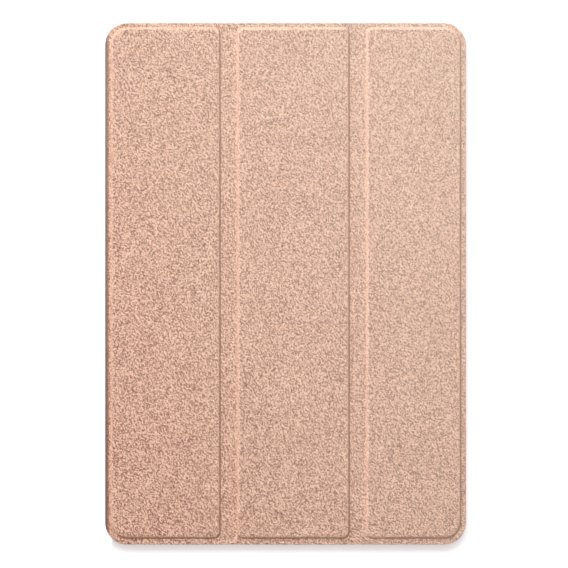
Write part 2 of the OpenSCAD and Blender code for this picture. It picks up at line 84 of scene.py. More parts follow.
COVER_LEFT = AXIS["cover_fold"].x
COVER_RIGHT = span("cover_skin_3", X)[1]
COVER_END = span("cover_skin_1", Y)[1]
COVER_TOP = span("cover_skin_1", Z)[1]
FOLD_Z = AXIS["cover_fold"].z
LINING_Z, SKIN_Z = span("cover_lining_1", Z)
LINING_END = span("cover_lining_1", Y)[1]
SKIN_T = FOLD_Z - SKIN_Z
LINING_T = SKIN_Z - LINING_Z
FOLDS = (AXIS["panel_fold_1"].x, AXIS["panel_fold_2"].x)
SPINE_END = span("spine_skin", Y)[1]
SPINE_INSIDE = span("spine_lining", X)[1]
SHEET_CORNER = COVER_END - SPINE_END
BOARD_SLACK = 0.05 * MM


# --- Sizes and colours that a user may change ---

def linear(code):
    """The linear colour of an sRGB hex value."""
    values = [int(code[i:i + 2], 16) / 255 for i in (0, 2, 4)]
    return tuple(v / 12.92 if v <= 0.04045 else ((v + 0.055) / 1.055) ** 2.4 for v in values)


def length(name, description, default):
    return bpy.props.FloatProperty(name=name, description=description, default=default, unit="LENGTH")


def colour(name, description, code):
    return bpy.props.FloatVectorProperty(
        name=name, description=description, default=linear(code), subtype="COLOR", min=0, max=1)


class FolioSizes(bpy.types.PropertyGroup):
    """Sizes of the roundings and pressed details that the frame leaves plain."""
    crease_r: length("Crease radius", "Outer radius where the leather turns over the spine", 2.5 * MM)
    strip_half: length("Fold strip", "Half the width of leather that bends at a fold", 1.5 * MM)
    pad_corner: length("Pad corner", "Corner radius of a panel beside a fold", 3.0 * MM)
    pad_outer: length("Pad outer corner", "Corner radius of a panel at the cover's corners", 8.0 * MM)
    step_spread: length("Step spread", "How far a panel's foot runs out, right and below", 0.4 * MM)
    step_lean: length("Step lean", "How far a panel's side leans in over its height", 0.6 * MM)
    step_rim: length("Step rim", "Rounding of a panel's upper rim", 0.7 * MM)
    step_foot: length("Step foot", "Hollow rounding at a panel's foot", 0.35 * MM)
    cut_edge: length("Cut edge", "Rounding of the leather's pressed edge", 0.3 * MM)
    back_corner: length("Back corner", "Corner radius of the leather on the back", 9.0 * MM)
    lining_edge: length("Lining edge", "Rounding of the lining's edge", 0.12 * MM)
    lining_groove: length("Lining groove", "Depth of the pressed groove at a fold", 0.18 * MM)
    moulded_edge: length("Moulded edge", "Rounding of the shell's edges", 0.3 * MM)
    metal_edge: length("Metal edge", "Rounding of the metal parts' edges", 0.15 * MM)
    glass_corner: length("Glass corner", "Corner radius of the front glass", 7.9 * MM)
    glass_edge: length("Glass edge", "Rounding of the front glass's rim", 0.35 * MM)


class FolioColours(bpy.types.PropertyGroup):
    """Colours of the surfaces that show."""
    leather: colour("Leather", "Rose gold of the grained leather", "dd9f80")
    valley: colour("Leather valleys", "Darker tone between the grains", "84402b")
    ridge: colour("Leather ridges", "Lighter tone on top of the grains", "fcd3ba")
    # painted light: pale tone painted over the upper right of the case and on the panels' rims
    painted_light_tone: colour("Faded leather", "Pale tone of leather that light has faded", "ffead6")
    lining: colour("Lining", "Microfibre inside the cover", "b9968a")
    shell: colour("Shell", "Moulded tray that holds the tablet", "cf9f8b")
    housing: colour("Housing", "Anodised aluminium of the tablet", "c9cacc")
    border: colour("Glass border", "Printed border behind the front glass", "050506")
    screen: colour("Screen", "Screen when it is off", "0d0f14")
    floor: colour("Floor", "Plain pale floor", "f4f4f4")


def sizes():
    return bpy.context.scene.folio_sizes


def colours():
    return bpy.context.scene.folio_colours


# --- Materials ---

def opaque(rgb):
    return (*rgb, 1.0)


def shade_of(rgb, factor):
    """The same colour made darker or lighter."""
    return opaque([min(1.0, value * factor) for value in rgb])


def add_node(tree, kind, inputs, out=0, **settings):
    """Adds a shader node and returns one output. Each input takes a value or another node's output."""
    node = tree.nodes.new("ShaderNode" + kind)
    for key, value in settings.items():
        setattr(node, key, value)
    for key, value in inputs.items():
        if isinstance(value, bpy.types.NodeSocket):
            tree.links.new(value, node.inputs[key])
        else:
            node.inputs[key].default_value = value
    return node.outputs[out]


# Attributes of the leather, from 0 to 1: how much painted shade darkens it, and how far an edge pulls it
PAINTED_SHADE, PULLED = "painted_shade", "pulled"
# A Mix node on colours has its own sockets: share, first and second colour, result
SHARE, FIRST, SECOND, RESULT = 0, 6, 7, 2
# A Map Range node's inputs
VALUE, FROM_LOW, FROM_HIGH, TO_LOW, TO_HIGH = range(5)


def surface(name, constants):
    """A Principled material: its constants are set on the shader's own sockets."""
    material = bpy.data.materials.new(name)
    material.use_nodes = True
    shader = material.node_tree.nodes["Principled BSDF"]
    for key, value in constants.items():
        shader.inputs[key].default_value = value
    return material, material.node_tree, shader


def dress(tree, shader, tone=None, roughness=None, relief=None, depth=0.0):
    """Feeds the shader's colour and roughness, and raises it by depth metres where relief is 1."""
    if tone:
        tree.links.new(tone, shader.inputs["Base Color"])
    if roughness:
        tree.links.new(roughness, shader.inputs["Roughness"])
    if relief:
        raised = add_node(tree, "Bump", {"Height": relief, "Strength": 1.0, "Distance": depth})
        tree.links.new(raised, shader.inputs["Normal"])


def place_in_mm(tree, centre=(0, 0, 0), turn=0.0, stretch=(1, 1, 1)):
    """The place on the piece in millimetres from centre, turned about Z and stretched along each axis."""
    place = add_node(tree, "TexCoord", {}, out="Object")
    centred = add_node(tree, "VectorMath", {0: place, 1: tuple(centre)}, operation="SUBTRACT")
    turned = add_node(tree, "Mapping", {"Vector": centred, "Rotation": (0, 0, turn)})
    per_mm = tuple(1 / (MM * share) for share in stretch)
    return add_node(tree, "VectorMath", {0: turned, 1: per_mm}, operation="MULTIPLY")


def pressed_grain(tree, place, pitch, seed):
    """Wrinkles of embossed leather: 1 on the ridges and 0 in the pits, about two pitches apart."""
    drift, drift_scale = 2.5 * pitch, 1 / (8 * pitch)
    bend = add_node(tree, "TexNoise", {"Vector": place, "Scale": drift_scale, "Detail": 1.0, "W": seed},
                    out="Color", noise_dimensions="4D")
    bent = add_node(tree, "VectorMath", {0: bend, 1: (drift,) * 3, 2: place}, operation="MULTIPLY_ADD")
    swell = add_node(tree, "TexNoise", {"Vector": bent, "Scale": 1 / pitch, "Detail": 1.0, "Roughness": 0.5,
                                        "W": seed}, noise_dimensions="4D")
    return add_node(tree, "MapRange", {VALUE: swell, FROM_LOW: 0.3, FROM_HIGH: 0.7},
                    interpolation_type="SMOOTHSTEP")


# The leather's grain: pitch in millimetres, the way it leans, its stretch and its seed
LONG_WRINKLES = (0.3, math.radians(-42), (1.0, 3.0, 1.2), 1.0)
CROSS_WRINKLES = (0.25, math.radians(40), (1.0, 1.6, 1.2), 7.0)
# Millimetres between pits, width of a draw in the skin with its stretch and lean, and size of a dye patch
PIT_SPACING = 0.62
DRAW_WIDTH, DRAW_STRETCH, DRAW_LEAN = 1.4, (1.5, 18.0, 4.0), math.radians(6)
DYE_PATCH = 16.0
# Each pattern's share of the height, the height's middle, and the height that has the full ridge colour
LONG_SHARE, WRINKLE_SHARE, PIT_SHARE, DRAW_SHARE, MIDDLE, RIDGE = 1.7, 0.6, 1.3, 0.16, 1.5, 0.3
GRAIN_DEPTH = 0.2 * MM
# How much of the grain stays where the leather is pulled, how much paler it is painted there as a painted
# highlight, and how much glossier it gets
PULLED_GRAIN, PULLED_PAINTED_HIGHLIGHT, PULLED_GLOSS = 0.4, 0.04, 0.08
# The side where painted light pales the leather, the millimetres along it where the painted light starts and ends,
# its most
PAINTED_LIGHT_SIDE, PAINTED_LIGHT_FROM, PAINTED_LIGHT_TO, PAINTED_LIGHT_MOST = (0.9, 0.44, 0), -120, 130, 0.33


def wrinkles(tree, pitch, turn, stretch, seed):
    return pressed_grain(tree, place_in_mm(tree, turn=turn, stretch=stretch), pitch, seed)


def embossed_pu_leather():
    """PU-coated leather pressed with a fine pebble grain: satin ridges over duller, redder pits."""
    tone = colours()
    material, tree, shader = surface("embossed_pu_leather", {"IOR": 1.5, "Specular IOR Level": 1.0})
    # wrinkles 0.6 mm apart and 1.8 mm long lean to the left, crossed by finer ones that lean to the right
    leaning = wrinkles(tree, *LONG_WRINKLES)
    crossing = wrinkles(tree, *CROSS_WRINKLES)
    woven = add_node(tree, "Math", {0: leaning, 1: LONG_SHARE, 2: crossing}, operation="MULTIPLY_ADD")
    # round pits between the wrinkles
    pits = add_node(tree, "TexVoronoi", {"Vector": place_in_mm(tree), "Scale": 1 / PIT_SPACING},
                    out="Distance")
    deep = add_node(tree, "Math", {0: pits, 1: PIT_SHARE}, operation="MULTIPLY")
    grain = add_node(tree, "Math", {0: woven, 1: WRINKLE_SHARE, 2: deep}, operation="MULTIPLY_ADD")
    # long faint draws in the skin, 20 mm and more long and mostly along the cover
    draw = add_node(tree, "TexNoise", {"Vector": place_in_mm(tree, turn=DRAW_LEAN, stretch=DRAW_STRETCH),
                                       "Scale": 1 / DRAW_WIDTH, "Detail": 1.0})
    grain = add_node(tree, "Math", {0: draw, 1: DRAW_SHARE, 2: grain}, operation="MULTIPLY_ADD")
    # the grain is centred on 0, and flatter where the leather is drawn over an edge
    centred = add_node(tree, "Math", {0: grain, 1: MIDDLE}, operation="SUBTRACT")
    pulled = add_node(tree, "Attribute", {}, out="Fac", attribute_name=PULLED)
    kept = add_node(tree, "MapRange", {VALUE: pulled, TO_LOW: 1.0, TO_HIGH: PULLED_GRAIN})
    height = add_node(tree, "Math", {0: centred, 1: kept}, operation="MULTIPLY")
    # the dye is a little uneven over a few centimetres
    dye = add_node(tree, "TexNoise", {"Vector": place_in_mm(tree), "Scale": 1 / DYE_PATCH, "Detail": 3.0})
    even = add_node(tree, "Mix", {SHARE: dye, FIRST: shade_of(tone.leather, 0.96),
                                  SECOND: shade_of(tone.leather, 1.04)}, out=RESULT, data_type="RGBA")
    low = add_node(tree, "MapRange", {VALUE: height, FROM_LOW: 0.0, FROM_HIGH: -RIDGE})
    pitted = add_node(tree, "Mix", {SHARE: low, FIRST: even, SECOND: opaque(tone.valley)}, out=RESULT,
                      data_type="RGBA")
    high = add_node(tree, "MapRange", {VALUE: height, FROM_LOW: 0.0, FROM_HIGH: RIDGE})
    grained = add_node(tree, "Mix", {SHARE: high, FIRST: pitted, SECOND: opaque(tone.ridge)}, out=RESULT,
                       data_type="RGBA")
    # painted shade darkens the turn over the spine and the lines along the panels' right and lower sides
    painted_shade_share = add_node(tree, "Attribute", {}, out="Fac", attribute_name=PAINTED_SHADE)
    painted_shade_mix = add_node(tree, "Mix", {SHARE: painted_shade_share, FIRST: grained, SECOND: shade_of(tone.valley, 0.4)},
                    out=RESULT, data_type="RGBA")
    # painted light pales the upper right of the case, and a painted highlight pales the edges of the panels
    towards = add_node(tree, "VectorMath", {0: place_in_mm(tree), 1: PAINTED_LIGHT_SIDE}, out="Value",
                       operation="DOT_PRODUCT")
    painted_light_share = add_node(tree, "MapRange", {VALUE: towards, FROM_LOW: PAINTED_LIGHT_FROM, FROM_HIGH: PAINTED_LIGHT_TO,
                                         TO_HIGH: PAINTED_LIGHT_MOST})
    painted_pale_share = add_node(tree, "Math", {0: pulled, 1: PULLED_PAINTED_HIGHLIGHT, 2: painted_light_share}, operation="MULTIPLY_ADD")
    painted_pale = add_node(tree, "Mix", {SHARE: painted_pale_share, FIRST: painted_shade_mix, SECOND: opaque(tone.painted_light_tone)}, out=RESULT,
                     data_type="RGBA")
    gloss = add_node(tree, "MapRange", {VALUE: height, FROM_LOW: -0.75, FROM_HIGH: 0.75, TO_LOW: 0.55,
                                        TO_HIGH: 0.36})
    polished = add_node(tree, "Math", {0: pulled, 1: -PULLED_GLOSS, 2: gloss}, operation="MULTIPLY_ADD")
    dress(tree, shader, painted_pale, polished, height, GRAIN_DEPTH)
    return material


def napped_microfibre():
    """Microfibre with a short nap: soft and matt, with lighter and darker strokes where it was brushed."""
    tone = colours()
    material, tree, shader = surface("napped_microfibre", {
        "IOR": 1.45, "Specular IOR Level": 0.2, "Sheen Weight": 0.35, "Sheen Roughness": 0.45})
    # fibres 0.01 mm thick are too fine to show, so the nap is drawn 0.25 mm coarse; strokes are 3 mm wide
    nap_size, stroke_width = 0.25, 3.0
    nap = add_node(tree, "TexNoise", {"Vector": place_in_mm(tree), "Scale": 1 / nap_size, "Detail": 3.0,
                                      "Roughness": 0.7})
    strokes = add_node(tree, "TexNoise", {
        "Vector": place_in_mm(tree, turn=math.radians(20), stretch=(1, 4, 1)), "Scale": 1 / stroke_width,
        "Detail": 3.0})
    lie = add_node(tree, "Math", {0: strokes, 1: 0.35, 2: nap}, operation="MULTIPLY_ADD")
    share = add_node(tree, "MapRange", {VALUE: lie, FROM_LOW: 0.4, FROM_HIGH: 0.95})
    brushed = add_node(tree, "Mix", {SHARE: share, FIRST: shade_of(tone.lining, 0.82),
                                     SECOND: shade_of(tone.lining, 1.12)}, out=RESULT, data_type="RGBA")
    gloss = add_node(tree, "MapRange", {VALUE: share, TO_LOW: 0.95, TO_HIGH: 0.85})
    dress(tree, shader, brushed, gloss, nap, 0.06 * MM)
    return material


def two_tone(name, dark, light, size, depth, gloss, constants, stretch=(1, 1, 1)):
    """A finish of two near tones over a relief of the given size and depth, both in millimetres."""
    material, tree, shader = surface(name, constants)
    relief = add_node(tree, "TexNoise", {"Vector": place_in_mm(tree, stretch=stretch), "Scale": 1 / size,
                                         "Detail": 2.5, "Roughness": 0.6})
    share = add_node(tree, "MapRange", {VALUE: relief, FROM_LOW: 0.3, FROM_HIGH: 0.7})
    tone = add_node(tree, "Mix", {SHARE: share, FIRST: dark, SECOND: light}, out=RESULT, data_type="RGBA")
    rough = add_node(tree, "MapRange", {VALUE: share, TO_LOW: gloss[0], TO_HIGH: gloss[1]})
    dress(tree, shader, tone, rough, relief, depth * MM)
    return material


def moulded_polycarbonate():
    """Polycarbonate moulded in a lightly etched tool, 0.25 mm fine: even colour and a satin skin."""
    base = colours().shell
    return two_tone("moulded_polycarbonate", shade_of(base, 0.96), shade_of(base, 1.04), 0.25, 0.014,
                    (0.36, 0.5), {"IOR": 1.58})


def anodised_aluminium():
    """Aluminium blasted with fine beads and anodised silver. Its 0.05 mm pits are drawn 0.16 mm coarse."""
    base = colours().housing
    return two_tone("anodised_aluminium", shade_of(base, 0.92), opaque(base), 0.16, 0.01, (0.3, 0.42),
                    {"Metallic": 1.0})


def inside_box(tree, low, high, soft=0.1):
    """1 inside a rectangle of the XY plane, falling to 0 over soft millimetres."""
    centre = (low + high) / 2
    place = place_in_mm(tree, centre=centre)
    shares = []
    for axis in (X, Y):
        half = (high[axis] - low[axis]) / 2 / MM
        along = add_node(tree, "SeparateXYZ", {0: place}, out=axis)
        reach = add_node(tree, "Math", {0: along}, operation="ABSOLUTE")
        shares.append(add_node(tree, "MapRange", {
            VALUE: reach, FROM_LOW: half - soft, FROM_HIGH: half, TO_LOW: 1.0, TO_HIGH: 0.0}))
    return add_node(tree, "Math", {0: shares[0], 1: shares[1]}, operation="MULTIPLY")


def inside_disc(tree, centre, radius, soft=0.08):
    """1 inside a circle of the XY plane about centre, falling to 0 over soft millimetres."""
    place = place_in_mm(tree, centre=centre)
    flat = add_node(tree, "VectorMath", {0: place, 1: (1, 1, 0)}, operation="MULTIPLY")
    reach = add_node(tree, "VectorMath", {0: flat}, out="Value", operation="LENGTH")
    return add_node(tree, "MapRange", {
        VALUE: reach, FROM_LOW: radius - soft, FROM_HIGH: radius, TO_LOW: 1.0, TO_HIGH: 0.0})


def printed_on(tree, below, layers):
    """Colours laid over each other, each where its own share is 1."""
    for share, code in layers:
        below = add_node(tree, "Mix", {SHARE: share, FIRST: below, SECOND: opaque(linear(code))}, out=RESULT,
                         data_type="RGBA")
    return below


def strengthened_glass():
    """Chemically strengthened glass, printed black behind its border, over a screen that is off."""
    tone = colours()
    material, tree, shader = surface("strengthened_glass", {"IOR": 1.52})
    low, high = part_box("front_camera")
    eye = (low + high) / 2
    on_screen = inside_box(tree, *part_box("lcd_panel"))
    lit = add_node(tree, "Mix", {SHARE: on_screen, FIRST: opaque(tone.border),
                                 SECOND: opaque(tone.screen)}, out=RESULT, data_type="RGBA")
    # rim, barrel and lens of the front camera, by radius in millimetres
    eye_rings = [(inside_disc(tree, eye, radius), code)
                 for radius, code in ((1.7, "1a1c21"), (1.2, "050507"), (0.7, "1f2746"))]
    # wiping leaves a film that varies over a few centimetres
    film_patch = 18.0
    film = add_node(tree, "TexNoise", {"Vector": place_in_mm(tree, turn=0.5, stretch=(1, 2.5, 1)),
                                       "Scale": 1 / film_patch, "Detail": 4.0})
    gloss = add_node(tree, "MapRange", {VALUE: film, FROM_LOW: 0.3, FROM_HIGH: 0.7, TO_LOW: 0.03,
                                        TO_HIGH: 0.09})
    dress(tree, shader, printed_on(tree, lit, eye_rings), gloss)
    return material


def coated_lens_glass():
    """Lens glass with a violet anti-reflection coat, over the dark rings of its barrel."""
    material, tree, shader = surface("coated_lens_glass", {
        "IOR": 1.6, "Roughness": 0.04, "Coat Weight": 0.5, "Coat Roughness": 0.03,
        "Coat Tint": opaque(linear("a9a0e8"))})
    low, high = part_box("camera_lens")
    centre = (low + high) / 2
    base = add_node(tree, "Mix", {SHARE: inside_disc(tree, centre, 3.2), FIRST: opaque(linear("08080b")),
                                  SECOND: opaque(linear("0e0e12"))}, out=RESULT, data_type="RGBA")
    # steps of the barrel and the innermost lens, by radius in millimetres
    barrel = ((2.9, "1c1d24"), (2.5, "050507"), (1.9, "23242e"), (1.5, "07070c"), (0.6, "20264a"))
    rings = [(inside_disc(tree, centre, radius), code) for radius, code in barrel]
    dress(tree, shader, printed_on(tree, base, rings))
    return material


def soldermask_board():
    """Glass-epoxy board under green solder mask, with copper areas showing as low, lighter ridges."""
    material, tree, shader = surface("soldermask_board", {"IOR": 1.55})
    # tracks run at 45 degrees, 1.2 mm apart
    gaps = add_node(tree, "TexBrick", {
        "Vector": place_in_mm(tree, turn=math.radians(45)), "Scale": 1.0, "Mortar Size": 0.15,
        "Mortar Smooth": 0.2, "Brick Width": 7.0, "Row Height": 1.2}, out="Fac")
    tone = add_node(tree, "Mix", {SHARE: gaps, FIRST: opaque(linear("2a6a46")),
                                  SECOND: opaque(linear("123f2b"))}, out=RESULT, data_type="RGBA")
    gloss = add_node(tree, "MapRange", {VALUE: gaps, TO_LOW: 0.3, TO_HIGH: 0.38})
    dress(tree, shader, tone, gloss, gaps, -0.03 * MM)
    return material


def hidden_finish(name, dark, light, size, depth, gloss, constants, stretch=(1, 1, 1)):
    """A maker of a two-tone finish from hex colours."""
    tones = [opaque(linear(code)) for code in (dark, light)]
    return lambda: two_tone(name, *tones, size, depth, gloss, constants, stretch)


# What the eye gets of each finish inside the tablet, with the size and depth of its relief in millimetres
FINISHES = {
    "rose_leather": embossed_pu_leather,
    "rose_microfibre": napped_microfibre,
    "rose_plastic": moulded_polycarbonate,
    "silver_aluminium": anodised_aluminium,
    "front_glass": strengthened_glass,
    "camera_glass": coated_lens_glass,
    "circuit_board": soldermask_board,
    # glass and polariser film of a screen that is off: near black, glossy, faintly blue
    "panel_glass": hidden_finish("laminated_polariser", "0e1016", "14161d", 30, 0.002, (0.08, 0.14),
                                 {"IOR": 1.5}),
    # black foam tape cut to a frame: matt, with open pores
    "black_adhesive": hidden_finish("die_cut_foam_tape", "08080a", "141416", 0.15, 0.01, (0.7, 0.85),
                                    {"IOR": 1.45}),
    # stack of white optical films: satin and very even
    "backlight_film": hidden_finish("stacked_optical_film", "e4e4e0", "f0f0ec", 12, 0.004, (0.35, 0.45),
                                    {"IOR": 1.55}),
    # black-coated foil drawn over the cell, creased lengthwise
    "battery_pouch": hidden_finish("drawn_pouch_foil", "1b1b1d", "303033", 5, 0.06, (0.3, 0.45),
                                   {"Metallic": 0.3, "IOR": 1.5}, stretch=(1, 2, 1)),
    # amber film over copper tracks that run lengthwise
    "flex_polyimide": hidden_finish("laminated_polyimide", "8a4a12", "b4701f", 1.2, 0.01, (0.3, 0.4),
                                    {"IOR": 1.7}, stretch=(1, 14, 1)),
    # stamped sheet with its rolling lines
    "stamped_steel": hidden_finish("rolled_stainless_steel", "8e9094", "b4b6ba", 0.12, 0.006, (0.28, 0.4),
                                   {"Metallic": 1.0}, stretch=(1, 40, 1)),
    # bright plate with faint orange peel
    "magnet_nickel": hidden_finish("nickel_plate", "a8a6a0", "c2c0ba", 0.8, 0.004, (0.16, 0.26),
                                   {"Metallic": 1.0}),
    # glass-filled nylon: matt, with a fine tool texture
    "black_plastic": hidden_finish("moulded_nylon", "0c0c0d", "19191b", 0.2, 0.012, (0.48, 0.62),
                                   {"IOR": 1.53}),
    # cream, even and slightly satin
    "cream_plastic": hidden_finish("moulded_liquid_crystal_polymer", "d3cdb9", "e2ddca", 0.4, 0.008,
                                   (0.42, 0.52), {"IOR": 1.6}),
    # grey film pressed in ribs
    "cone_film": hidden_finish("pressed_cone_film", "4c4e53", "63656a", 0.9, 0.05, (0.35, 0.5),
                               {"IOR": 1.5}, stretch=(6, 1, 1)),
    # grey board of paper fibres about 1 mm long
    "fibreboard": hidden_finish("pressed_fibreboard", "6a635a", "8a8277", 0.5, 0.04, (0.85, 0.95),
                                {"IOR": 1.45}, stretch=(1, 3, 1)),
}
made = {}


def finish(slot):
    """The material for one of the record's slots, made once."""
    if slot not in made:
        made[slot] = FINISHES[slot]()
    return made[slot]


# --- Mesh helpers ---

NEAR = 0.002 * MM
# Faces within this angle of each other are one flat face, and edges past these angles are sharp
FLAT_WITHIN = math.radians(0.5)
SHADED_SHARP = math.radians(40)
ROUNDED_SHARP = math.radians(38)
RIM_SHARP = math.radians(60)
# Segments of each kind of rounding, and cuts across the leather that bends
CORNER_SEGMENTS, RIM_SEGMENTS, FOOT_SEGMENTS, GLASS_SEGMENTS, EDGE_SEGMENTS = 10, 5, 4, 4, 3
STRIP_CUTS, CREASE_CUTS = 13, 11


def near(a, b):
    return abs(a - b) < NEAR


def edges_where(bm, test):
    """Edges whose two ends both pass a test on their place."""
    return [edge for edge in bm.edges if all(test(vert.co) for vert in edge.verts)]


def round_edges(bm, edges, radius, segments):
    bmesh.ops.bevel(bm, geom=edges, offset=radius, offset_type="OFFSET", segments=segments, profile=0.5,
                    affect="EDGES", material=-1, clamp_overlap=False)


def block(low, high):
    """A box from its lowest to its highest corner."""
    bm = bmesh.new()
    low, high = Vector(low), Vector(high)
    place = Matrix.Translation((low + high) / 2) @ Matrix.Diagonal((*(high - low), 1))
    bmesh.ops.create_cube(bm, size=1.0, matrix=place)
    return bm


def round_corner(bm, x, y, radius):
    """Rounds the upright edge that stands at x, y."""
    if radius > 0:
        upright = edges_where(bm, lambda p: near(p.x, x) and near(p.y, y))
        round_edges(bm, upright, radius, CORNER_SEGMENTS)


def drop_faces(bm, level):
    """Opens the flat face at one height."""
    flat = [f for f in bm.faces if all(near(v.co.z, level) for v in f.verts)]
    bmesh.ops.delete(bm, geom=flat, context="FACES_ONLY")


def fill_open(bm):
    bmesh.ops.holes_fill(bm, edges=[e for e in bm.edges if e.is_boundary], sides=0)


def cut_left_of(bm, x):
    """Cuts away what lies left of x and closes the cut."""
    bmesh.ops.bisect_plane(bm, geom=bm.verts[:] + bm.edges[:] + bm.faces[:], dist=NEAR / 10,
                           plane_co=(x, 0, 0), plane_no=(1, 0, 0), clear_inner=True)
    fill_open(bm)


def add_step(bm, level, low, high, corners, lean=0.0, hollow=False):
    """Joins a rounded step to the flat face at level: raised, or hollow and seen from below."""
    drop_faces(bm, level)
    step = block(low, high)
    for (sx, sy), radius in corners.items():
        round_corner(step, high[X] if sx > 0 else low[X], high[Y] if sy > 0 else low[Y], radius)
    if lean:
        centre = (Vector(low) + Vector(high)) / 2
        shrink = [1 - 2 * lean / (high[axis] - low[axis]) for axis in (X, Y)]
        top = [v for v in step.verts if near(v.co.z, high[Z])]
        bmesh.ops.scale(step, vec=(*shrink, 1), verts=top, space=Matrix.Translation(-centre))
    drop_faces(step, low[Z])
    if hollow:
        bmesh.ops.reverse_faces(step, faces=step.faces)
    joined = bpy.data.meshes.new("step")
    step.to_mesh(joined)
    step.free()
    bm.from_mesh(joined)
    bpy.data.meshes.remove(joined)
    rims = [edge for edge in bm.edges if edge.is_boundary]
    filled = bmesh.ops.triangle_fill(bm, edges=rims, use_beauty=True, use_dissolve=False)
    flat = [item for item in filled["geom"] if isinstance(item, bmesh.types.BMEdge) and not item.is_boundary]
    bmesh.ops.dissolve_limit(bm, angle_limit=FLAT_WITHIN, verts=[], edges=flat)


def slice_across(bm, cuts):
    """Cuts a strip into bands along X, so that it can bend about Y."""
    along = [e for e in bm.edges if not near(e.verts[0].co.x, e.verts[1].co.x)]
    bmesh.ops.subdivide_edges(bm, edges=along, cuts=cuts, use_grid_fill=True)


def merged_copy(node):
    """A CAD node's mesh with its triangles joined and its flat faces made whole."""
    bm = bmesh.new()
    bm.from_mesh(frame["nodes"][node].data)
    bmesh.ops.remove_doubles(bm, verts=bm.verts, dist=NEAR)
    bmesh.ops.dissolve_limit(bm, angle_limit=FLAT_WITHIN, verts=bm.verts, edges=bm.edges)
    return bm


def mark(bm, name, amount_at):
    """Stores an amount for each point of a piece of leather."""
    layer = bm.verts.layers.float.new(name)
    for vert in bm.verts:
        vert[layer] = amount_at(vert.co)


def piece(name, bm, slot, body, replaced=(), sharp=SHADED_SHARP):
    bmesh.ops.recalc_face_normals(bm, faces=bm.faces)
    mesh = bpy.data.meshes.new(name)
    bm.to_mesh(mesh)
    bm.free()
    mesh.shade_smooth()
    mesh.set_sharp_from_angle(angle=sharp)
    made_object = bpy.data.objects.new(name, mesh)
    bpy.context.scene.collection.objects.link(made_object)
    mesh.materials.append(finish(slot))
    weighted = made_object.modifiers.new("even shading", "WEIGHTED_NORMAL")
    weighted.keep_sharp = True
    if body:
        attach(made_object, body)
    if replaced:
        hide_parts(*replaced)
    return made_object


def softened(name, node, width, body):
    """A CAD node remade with its sharp edges rounded."""
    made_object = piece(name, merged_copy(node), SLOT_OF[node], body, [node], sharp=math.pi)
    rounding = made_object.modifiers.new("rounding", "BEVEL")
    rounding.width = width
    rounding.segments = EDGE_SEGMENTS
    rounding.limit_method = "ANGLE"
    rounding.angle_limit = ROUNDED_SHARP
    rounding.use_clamp_overlap = True
    made_object.modifiers.move(1, 0)
    return made_object


# --- Cover: padded panels and the strips between them ---

# How high the painted shade reaches on a panel's side, and how much of it is painted
PAINTED_FOOT_SHADE_HEIGHT = 0.6 * MM
PAINTED_FOOT_SHADE_AMOUNT = 0.55


def seams():
    """Where the rigid leather of each panel starts and ends."""
    half = sizes().strip_half
    return ((COVER_LEFT + sizes().crease_r, FOLDS[0] - half), (FOLDS[0] + half, FOLDS[1] - half),
            (FOLDS[1] + half, COVER_RIGHT))


def flat_sheet(index, left, right, end, low, high, pressed, radius):
    """The sheet of one panel: its outer corners rounded, and one face's free edges pressed round."""
    start, stop = seams()[index]
    bm = block((left if index == 0 else start, -end, low), (right if index == 2 else stop, end, high))
    outer_x = {0: left, 2: right}.get(index)
    if outer_x is not None:
        for y in (-end, end):
            round_corner(bm, outer_x, y, radius)
    if index == 0:
        cut_left_of(bm, start)
    joints = (start, stop) if index < 2 else (start,)
    free = [edge for edge in edges_where(bm, lambda p: near(p.z, pressed))
            if not any(all(near(v.co.x, x) for v in edge.verts) for x in joints)]
    width = sizes().cut_edge if pressed > low else sizes().lining_edge
    round_edges(bm, free, width, EDGE_SEGMENTS)
    return bm


def painted_foot_shade(place, pad_low, pad_high):
    """Painted shade in the pressed line along a panel's right and lower sides."""
    size = sizes()
    if not FOLD_Z + NEAR < place.z < FOLD_Z + PAINTED_FOOT_SHADE_HEIGHT:
        return 0.0
    side = max(place.x - pad_high.x, pad_low.y - place.y) / size.pad_corner + 1
    return PAINTED_FOOT_SHADE_AMOUNT * min(1.0, max(0.0, side))


class FOLIO_OT_cover_panels(bpy.types.Operator):
    """Outer leather of the three padded panels, each a flat sheet raised over its board"""
    bl_idname = "folio.cover_panels"
    bl_label = "Cover panels"

    def execute(self, context):
        size = sizes()
        for index in range(3):
            number = index + 1
            board_low, board_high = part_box(f"cover_board_{number}")
            cover = SKIN_T + BOARD_SLACK
            pad_low = board_low - Vector((cover, cover + size.step_spread, 0))
            pad_high = board_high + Vector((cover + size.step_spread, cover, 0))
            pad_low.z, pad_high.z = FOLD_Z, COVER_TOP
            bm = flat_sheet(index, COVER_LEFT, COVER_RIGHT, COVER_END, SKIN_Z, FOLD_Z, FOLD_Z, SHEET_CORNER)
            outer_side = {0: -1, 2: 1}.get(index)
            corners = {(sx, sy): size.pad_outer if sx == outer_side else size.pad_corner
                       for sx in (-1, 1) for sy in (-1, 1)}
            add_step(bm, FOLD_Z, pad_low, pad_high, corners, size.step_lean)
            inner = {key: radius - SKIN_T for key, radius in corners.items()}
            pocket_low = Vector((board_low.x, board_low.y, SKIN_Z))
            add_step(bm, SKIN_Z, pocket_low, board_high, inner, size.step_lean, hollow=True)
            round_edges(bm, edges_where(bm, lambda p: near(p.z, COVER_TOP)), size.step_rim, RIM_SEGMENTS)
            foot = edges_where(bm, lambda p: near(p.z, FOLD_Z)
                               and pad_low.x - NEAR < p.x < pad_high.x + NEAR
                               and pad_low.y - NEAR < p.y < pad_high.y + NEAR)
            round_edges(bm, foot, size.step_foot, FOOT_SEGMENTS)
            # pulled rims get less grain, more gloss and a painted highlight
            mark(bm, PULLED, lambda p: float(FOLD_Z + NEAR < p.z < COVER_TOP - NEAR))
            # painted shade along the feet of the panel's right and lower sides
            mark(bm, PAINTED_SHADE, lambda p: painted_foot_shade(p, pad_low, pad_high))
            piece(f"cover_leather_{number}", bm, "rose_leather", f"panel_{number}", [f"cover_skin_{number}"])
        return {"FINISHED"}


